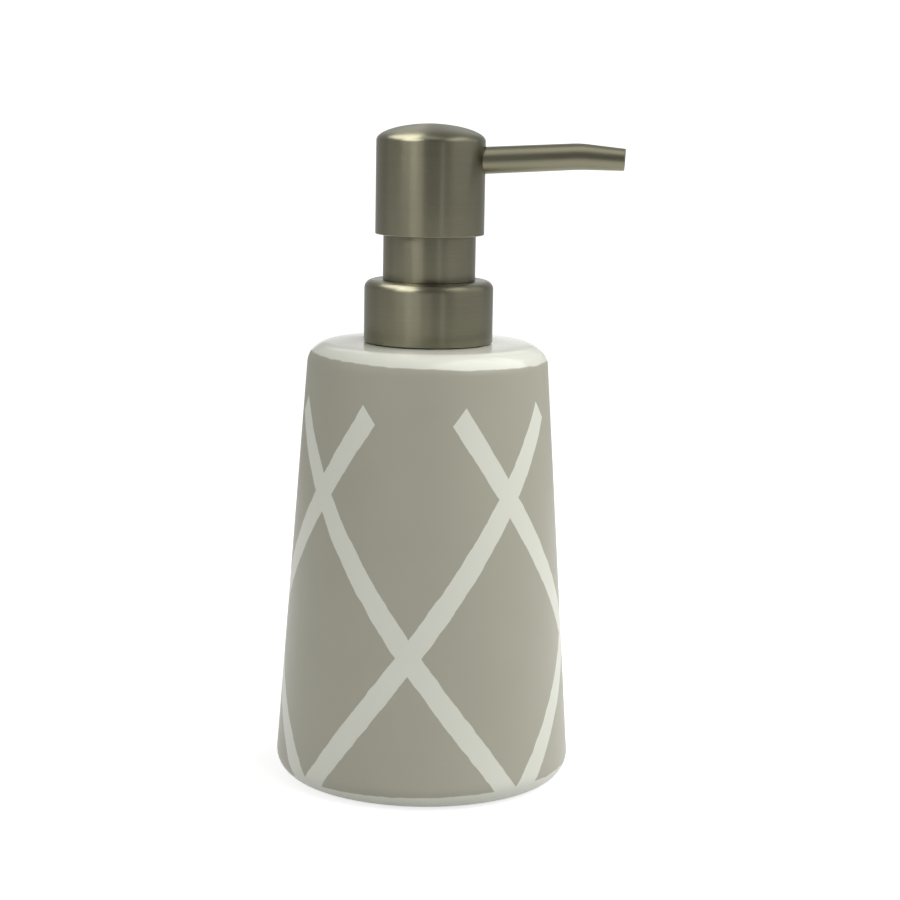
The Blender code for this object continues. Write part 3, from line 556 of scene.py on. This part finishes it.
neck = turned(
    "neck_threaded",
    outline(
        [
            (NECK_RADIUS, NECK_RIM, 0.3),
            (NECK_RADIUS, NECK_FOOT, 0.3),
            (INSERT_FLANGE_RADIUS, NECK_FOOT, 0.25),
            (INSERT_FLANGE_RADIUS, INSERT_SEAT),
            (INSERT_RADIUS, INSERT_SEAT),
            (INSERT_RADIUS, INSERT_BOTTOM + INSERT_CHAMFER),
            (INSERT_RADIUS - INSERT_CHAMFER, INSERT_BOTTOM),
            (NECK_BORE, INSERT_BOTTOM),
            (NECK_BORE, NECK_RIM, 0.3),
        ],
        steps=3,
    ),
    96,
)
join(neck, thread_ridge("neck_ridge", NECK_RADIUS, NECK_CREST, THREAD_START, 1.0))
mount(neck, "bottle_body", "white_plastic", white_plastic, "neck_insert")

closure = turned(
    "closure_threaded",
    outline(
        [
            (CLOSURE_RADIUS, CLOSURE_TOP, COLLAR_ROUND - COLLAR_WALL),
            (CLOSURE_RADIUS, CLOSURE_BOTTOM, 0.2),
            (CLOSURE_BORE, CLOSURE_BOTTOM, 0.3),
            (CLOSURE_BORE, CLOSURE_CEILING, 0.3),
            (CLOSURE_HOLE, CLOSURE_CEILING),
            (CLOSURE_HOLE, CLOSURE_TOP),
        ],
        steps=4,
    ),
    96,
)
closure_thread_start = THREAD_START - THREAD_PITCH / 2
join(closure, thread_ridge("closure_ridge", CLOSURE_BORE, CLOSURE_CREST, closure_thread_start, 0.7))
mount(closure, "closure_body", "white_plastic", white_plastic, "closure")

# Steel skins

collar = turned(
    "collar_steel",
    outline(
        [
            (COLLAR_HOLE, COLLAR_TOP),
            (COLLAR_RADIUS, COLLAR_TOP, COLLAR_ROUND),
            (COLLAR_RADIUS, COLLAR_BOTTOM, 0.2),
            (COLLAR_RADIUS - COLLAR_WALL, COLLAR_BOTTOM),
            (COLLAR_RADIUS - COLLAR_WALL, COLLAR_TOP - COLLAR_WALL, COLLAR_ROUND - COLLAR_WALL),
            (COLLAR_HOLE, COLLAR_TOP - COLLAR_WALL),
        ]
    ),
    160,
)
mount(collar, "closure_body", "brushed_steel", steel, "collar_shell")

sleeve_bore = SLEEVE_RADIUS - SLEEVE_WALL
sleeve = turned(
    "sleeve_steel",
    outline(
        [
            (SLEEVE_HOLE, SLEEVE_TOP),
            (SLEEVE_RADIUS, SLEEVE_TOP, 0.45),
            (SLEEVE_RADIUS, SLEEVE_BOTTOM, 0.12),
            (sleeve_bore - FOOT_LIP, SLEEVE_BOTTOM),
            (sleeve_bore, SLEEVE_BOTTOM + FOOT_LIP_HEIGHT),
            (sleeve_bore, SLEEVE_TOP - SLEEVE_WALL),
            (SLEEVE_HOLE, SLEEVE_TOP - SLEEVE_WALL),
        ]
    ),
    144,
)
mount(sleeve, "pump_body", "brushed_steel", steel, "sleeve")


def spout_station(distance, inset):
    """The centre, direction and radius of the tube at this distance from the pump's axis."""
    bend = SPOUT_BEND_RADIUS * math.tan((SPOUT_RISE + SPOUT_FALL) / 2)
    share = min(1, max(0, (distance - SPOUT_KNEE + bend) / (2 * bend)))
    slope = SPOUT_RISE - (SPOUT_RISE + SPOUT_FALL) * share
    knee_height = ROOT_HEIGHT + SPOUT_KNEE * math.tan(SPOUT_RISE)
    if distance < SPOUT_KNEE - bend:
        height = ROOT_HEIGHT + distance * math.tan(SPOUT_RISE)
    elif distance > SPOUT_KNEE + bend:
        height = knee_height - (distance - SPOUT_KNEE) * math.tan(SPOUT_FALL)
    else:
        start = ROOT_HEIGHT + (SPOUT_KNEE - bend) * math.tan(SPOUT_RISE)
        height = start + SPOUT_BEND_RADIUS * (math.cos(slope) - math.cos(SPOUT_RISE))
    if distance < SPOUT_KNEE:
        along = max(0, distance - SPOUT_START) / (SPOUT_KNEE - SPOUT_START)
        radius = SPOUT_RADIUS * (1 - (1 - KNEE_SHARE) * along)
    else:
        along = (distance - SPOUT_KNEE) / (SPOUT_REACH - SPOUT_KNEE)
        radius = SPOUT_RADIUS * (KNEE_SHARE - (KNEE_SHARE - TIP_SHARE) * along)
    return Vector((distance, 0, height)), Vector((math.cos(slope), 0, math.sin(slope))), radius - inset


def make_spout():
    """The steel tube with its wall, and a rounded rim at the tip."""
    steps = 56
    rim_steps = 8
    end = SPOUT_REACH - SPOUT_RIM
    places = [SPOUT_START + (end - SPOUT_START) * i / steps for i in range(steps + 1)]
    stations = [spout_station(place, 0) for place in places]
    for step in range(1, rim_steps + 1):
        turn = math.pi * step / rim_steps
        centre, direction, radius = spout_station(end, SPOUT_RIM * (1 - math.cos(turn)))
        stations.append((centre + direction * SPOUT_RIM * math.sin(turn), direction, radius))
    stations += [spout_station(place, SPOUT_WALL) for place in reversed(places[:-1])]
    return swept("spout_steel_tube", stations, 48, (0, 1, 0), closed=True)


spout = make_spout()
mount(spout, "head_body", "spout_steel", spout_steel, "spout_tube")


def dome(radius, foot, top, steps):
    """The dome's outline from its crown to the wall, as one cubic curve with a level crown."""
    wall_handle = foot + DOME_WALL_SHARE * (top - foot)
    handles = [(0, top), (DOME_CROWN_SHARE * radius, top), (radius, wall_handle), (radius, foot)]
    points = []
    for step in range(steps + 1):
        share = step / steps
        rest = 1 - share
        weights = (rest**3, 3 * rest**2 * share, 3 * rest * share**2, share**3)
        points.append(
            tuple(sum(weight * handle[axis] for weight, handle in zip(weights, handles)) for axis in (0, 1))
        )
    return points


def make_head():
    """The drawn cup with its low dome, and the hole that the spout comes through."""
    bore = HEAD_RADIUS - SHELL_WALL
    foot = HEAD_TOP - DOME_HEIGHT
    rim = [(HEAD_RADIUS, foot), (HEAD_RADIUS, HEAD_BOTTOM, 0.22), (bore, HEAD_BOTTOM)]
    inner = list(reversed(dome(bore, foot, HEAD_TOP - SHELL_WALL, 16)))
    points = dome(HEAD_RADIUS, foot, HEAD_TOP, 28) + outline(rim, closed=False)[1:] + inner
    head = turned("head_steel", points, 160, closed=False)
    ends = [spout_station(distance, -HOLE_CLEARANCE) for distance in (12.5, 16.0)]
    hole = swept("spout_hole", ends, 48, (0, 1, 0))
    cut = head.modifiers.new("hole", "BOOLEAN")
    cut.object = hole
    cut.solver = "EXACT"
    graph = bpy.context.evaluated_depsgraph_get()
    mesh = bpy.data.meshes.new_from_object(head.evaluated_get(graph))
    head.modifiers.clear()
    head.data = mesh
    smooth(mesh)
    bpy.data.objects.remove(hole)
    return head


head = make_head()
mount(head, "head_body", "brushed_steel", steel, "head_shell")


def make_spring():
    """The return spring: a closed flat coil at each end and an even rise between them."""
    low = SPRING_BOTTOM + WIRE_RADIUS
    high = SPRING_TOP - WIRE_RADIUS
    pitch = (high - low - 2 * END_RISE) / (COILS - 2)
    centres = []
    for step in range(COILS * COIL_STEPS + 1):
        coil = step / COIL_STEPS
        if coil <= 1:
            height = low + END_RISE * coil
        elif coil >= COILS - 1:
            height = high - END_RISE * (COILS - coil)
        else:
            height = low + END_RISE + pitch * (coil - 1)
        angle = 2 * math.pi * coil
        centres.append(Vector((SPRING_RADIUS * math.cos(angle), SPRING_RADIUS * math.sin(angle), height)))
    stations = []
    for index, centre in enumerate(centres):
        ahead = centres[min(index + 1, len(centres) - 1)]
        behind = centres[max(index - 1, 0)]
        stations.append((centre, (ahead - behind).normalized(), WIRE_RADIUS))
    return swept("spring_wire", stations, 12, (0, 0, 1))


spring = make_spring()
mount(spring, "pump_body", "bright_steel", wire_steel, "spring")
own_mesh(spring)


# Floor, backdrop, lamps and camera

CAMERA_TURN = math.radians(6.0)
OBJECT_MIDDLE = (0, 0, 0.1)  # in metres, as the places of the lamps are
FLOOR_RADIUS = 520
FLOOR_SIDES = 96
FLOOR_HEIGHT = -0.2
BACKDROP_DISTANCE = 5.0  # in metres
PAPER_GREY = (0.48, 0.48, 0.48)


def studio_place(azimuth, elevation, distance, middle=OBJECT_MIDDLE):
    """A point round the object. Azimuth 0 is the camera's side, and it grows to the camera's right."""
    turn = CAMERA_TURN + math.radians(azimuth)
    lift = math.radians(elevation)
    out = Vector((math.sin(turn) * math.cos(lift), -math.cos(turn) * math.cos(lift), math.sin(lift)))
    return Vector(middle) + out * distance


def white_stage(name, strength):
    """White paper that shows as plain white in the picture and in reflections, and still takes shadows."""
    finish = Finish(name)
    path = finish.add("ShaderNodeLightPath")
    mirrored = finish.math("MAXIMUM", path.outputs["Is Glossy Ray"], path.outputs["Is Transmission Ray"])
    seen = finish.math("MAXIMUM", path.outputs["Is Camera Ray"], mirrored)
    finish.set(
        Base_Color=PAPER_GREY,
        Roughness=0.9,
        Emission_Color=(1.0, 1.0, 1.0),
        Emission_Strength=finish.math("MULTIPLY", seen, strength),
    )
    return finish.material


def panel(name, corners, material):
    """A flat piece of the stage, which isn't part of the object."""
    piece = new_piece(name, corners, [list(range(len(corners)))])
    piece.data.materials.append(material)


disc = []
for side in range(FLOOR_SIDES):
    angle = 2 * math.pi * side / FLOOR_SIDES
    disc.append((FLOOR_RADIUS * math.cos(angle), FLOOR_RADIUS * math.sin(angle), FLOOR_HEIGHT))
panel("floor", disc, white_stage("floor_paper", 0.75))
back = [
    studio_place(180 + turn, 0, BACKDROP_DISTANCE, (0, 0, 0)) / MM + Vector((0, 0, height))
    for turn, height in ((-14, -1600), (14, -1600), (14, 700), (-14, 700))
]
panel("backdrop", back, white_stage("backdrop_paper", 1.0))


def light_group(name, pieces, state):
    """A light-linking group: its lamps light only these pieces, or all but these pieces."""
    group = bpy.data.collections.new(name)
    for piece in pieces:
        group.objects.link(piece)
    for entry in group.collection_objects:
        entry.light_linking.link_state = state
    return group


def lamp(name, place, width, height, power, group=None):
    """A soft box of this size in metres and power in watts, turned to the object's middle."""
    data = bpy.data.lights.new(name, "AREA")
    data.shape = "RECTANGLE"
    data.size = width
    data.size_y = height
    data.energy = power
    light = bpy.data.objects.new(name, data)
    bpy.context.scene.collection.objects.link(light)
    light.location = place
    light.rotation_euler = (Vector(OBJECT_MIDDLE) - place).to_track_quat("-Z", "Y").to_euler()
    light.visible_camera = False
    if group:
        light.light_linking.receiver_collection = group


turned_steel = (collar, sleeve, head)
turned_only = light_group("turned_only", turned_steel, "INCLUDE")
head_only = light_group("head_only", (head,), "INCLUDE")
collar_only = light_group("collar_only", (collar,), "INCLUDE")
spout_only = light_group("spout_only", (spout,), "INCLUDE")
steel_only = light_group("steel_only", (*turned_steel, spout), "INCLUDE")
all_but_steel = light_group("all_but_steel", (*turned_steel, spout), "EXCLUDE")

lamp("key_back", studio_place(-106, 60, 1.0), 0.78, 0.68, 6.8, turned_only)
lamp("key_side", studio_place(-47, 41, 1.0), 0.60, 0.66, 5.6, turned_only)
lamp("key_top", studio_place(-40, 82, 1.0), 0.80, 0.40, 0.85, head_only)
lamp("key_right", studio_place(80, 52, 1.1), 0.80, 0.50, 1.3, turned_only)
lamp("collar_fill", studio_place(-8, -2, 1.2), 0.50, 0.50, 0.24, collar_only)
lamp("spout_top", studio_place(15, 76, 1.1), 0.90, 0.90, 3.2, spout_only)
lamp("steel_right", studio_place(80, 35, 1.1), 1.6, 1.3, 3.1, steel_only)
lamp("left_fill", studio_place(-75, 5, 1.2), 1.2, 1.0, 0.45)
lamp("left_streak", studio_place(-29, 0, 1.2), 0.60, 0.7, 0.74)
lamp("right_streak", studio_place(25, 0, 1.2), 0.10, 0.6, 0.12)
lamp("crown_box", studio_place(180, 34, 1.2), 0.8, 0.5, 0.55)
lamp("glaze_left", studio_place(-60, 25, 1.2), 1.2, 1.0, 3.4, all_but_steel)
lamp("glaze_right", studio_place(75, 48, 1.1), 1.6, 1.3, 15.5, all_but_steel)

# The room: a plain grey that is dimmer behind the camera than behind the object
ROOM_NEAR = 0.24
ROOM_FAR = 0.46

world = bpy.data.worlds.new("room")
bpy.context.scene.world = world
world.use_nodes = True
tree = world.node_tree
background = tree.nodes["Background"]
direction = tree.nodes.new("ShaderNodeTexCoord")
split = tree.nodes.new("ShaderNodeSeparateXYZ")
tree.links.new(direction.outputs["Generated"], split.inputs[0])
grey = tree.nodes.new("ShaderNodeMapRange")
for socket, value in zip(grey.inputs[1:5], (-1.0, 1.0, ROOM_NEAR, ROOM_FAR)):
    socket.default_value = value
tree.links.new(split.outputs["Y"], grey.inputs[0])
tree.links.new(grey.outputs[0], background.inputs["Color"])

# The camera: a long lens from a little above, turned with its place round the pump's axis
LENS = 92.33
CAMERA_PLACE = (0, -0.59285, 0.18465)
PITCH = 0.1652
YAW = 0.0104
ROLL = 0.0172

camera_data = bpy.data.cameras.new("camera")
camera_data.lens = LENS
camera_data.sensor_width = 36.0
camera = bpy.data.objects.new("camera", camera_data)
bpy.context.scene.collection.objects.link(camera)
ahead = Vector((math.sin(YAW) * math.cos(PITCH), math.cos(YAW) * math.cos(PITCH), -math.sin(PITCH)))
right = Vector((math.cos(YAW), -math.sin(YAW), 0))
above = right.cross(ahead)
facing = Matrix((right, above, -ahead)).transposed().to_4x4() @ Matrix.Rotation(ROLL, 4, "Z")
spot = Matrix.Translation(CAMERA_PLACE)
camera.matrix_world = Matrix.Rotation(CAMERA_TURN, 4, "Z") @ spot @ facing
bpy.context.scene.camera = camera
bpy.context.scene.view_settings.view_transform = "Standard"
